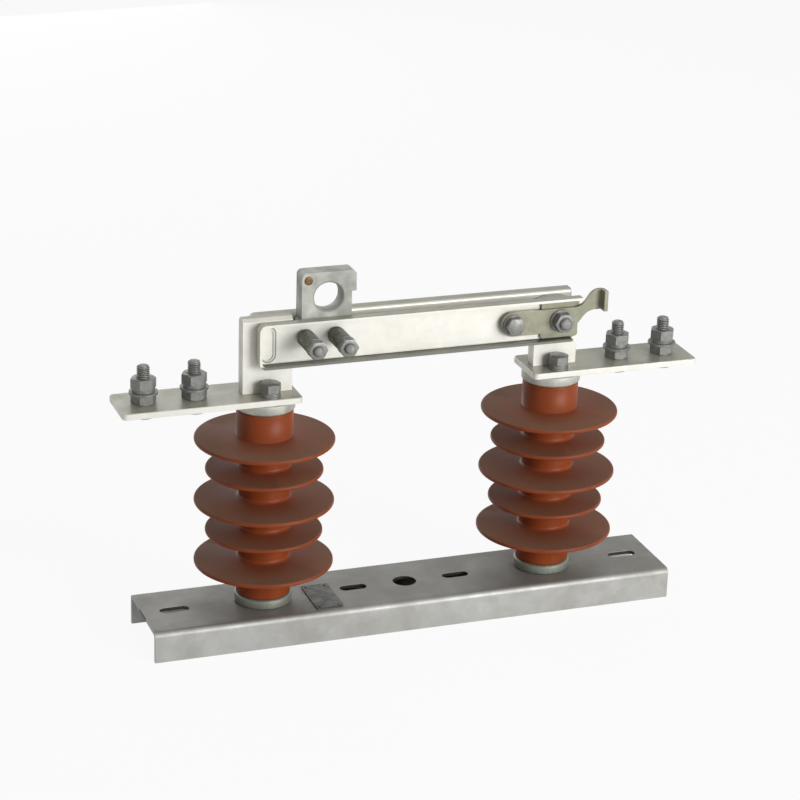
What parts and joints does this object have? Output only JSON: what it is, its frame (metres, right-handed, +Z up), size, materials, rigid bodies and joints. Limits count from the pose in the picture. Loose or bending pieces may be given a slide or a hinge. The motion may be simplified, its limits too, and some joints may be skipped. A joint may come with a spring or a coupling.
{
  "type": "outdoor single-pole substation disconnect switch",
  "caption": "Single-pole outdoor disconnect switch: a hinged blade with a pull eye bridges post insulators with rubber sheds on a slotted steel channel, with bolted terminal bars.",
  "frame": {"origin": "on the underside of the base channel, at the middle of the object", "axes": "+X along the channel towards the hinge end, +Z up, -Y towards the side with the sprung bolts and the stop lever"},
  "size_m": [0.596, 0.138, 0.372],
  "materials": {
    "galvanised_steel": "weathered hot-dip galvanised",
    "nameplate": "dark anodised, blank",
    "fitting_steel": "dull galvanised",
    "silicone_rubber": "satin red-brown silicone rubber",
    "tinned_copper": "tin-plated copper, satin",
    "cast_eye": "as-cast, matt grey",
    "brass_rivet": "tarnished",
    "plated_steel": "zinc-plated, yellowed",
    "bolt_steel": "dull zinc-plated",
    "spring_steel": "dull plated spring wire"
  },
  "bodies": {
    "base": {"base_bolts": "bolt_steel", "base_channel": "galvanised_steel", "base_washers": "bolt_steel", "clamp_bolts": "bolt_steel", "clamp_spring_washers": "bolt_steel", "clamp_washers": "bolt_steel", "contact_back_leaf": "tinned_copper", "contact_front_leaf": "tinned_copper", "hinge_back_leaf": "tinned_copper", "hinge_front_leaf": "tinned_copper", "left_insulator_cap": "fitting_steel", "left_insulator_foot": "fitting_steel", "left_insulator_sheds": "silicone_rubber", "left_terminal_bar": "tinned_copper", "left_terminal_bolts": "bolt_steel", "nameplate": "nameplate", "right_insulator_cap": "fitting_steel", "right_insulator_foot": "fitting_steel", "right_insulator_sheds": "silicone_rubber", "right_terminal_bar": "tinned_copper", "right_terminal_bolts": "bolt_steel", "terminal_nuts": "bolt_steel", "terminal_spring_washers": "bolt_steel", "terminal_washers": "bolt_steel"},
    "blade": {"blade_front_strip": "tinned_copper", "blade_back_strip": "tinned_copper", "pull_eye": "cast_eye", "eye_rivet": "brass_rivet", "contact_spring_bolts": "bolt_steel", "contact_springs": "spring_steel", "contact_spring_washers": "bolt_steel", "contact_spring_nuts": "bolt_steel", "front_pressure_plate": "plated_steel", "back_pressure_plate": "plated_steel", "stop_lever": "plated_steel", "hinge_bolt": "bolt_steel", "hinge_washer": "bolt_steel", "hinge_nut": "bolt_steel", "hinge_rings": "tinned_copper", "lever_spacer": "plated_steel", "blade_spacer": "plated_steel", "lever_washer": "bolt_steel", "lever_bolt": "bolt_steel", "lever_nut": "bolt_steel"}
  },
  "joints": [
    {"name": "blade_hinge", "type": "hinge", "parent": "base", "child": "blade", "pos_m": [0.15, 0, 0.3045], "axis": [0, 1, 0], "range_deg": [0, 75]}
  ]
}
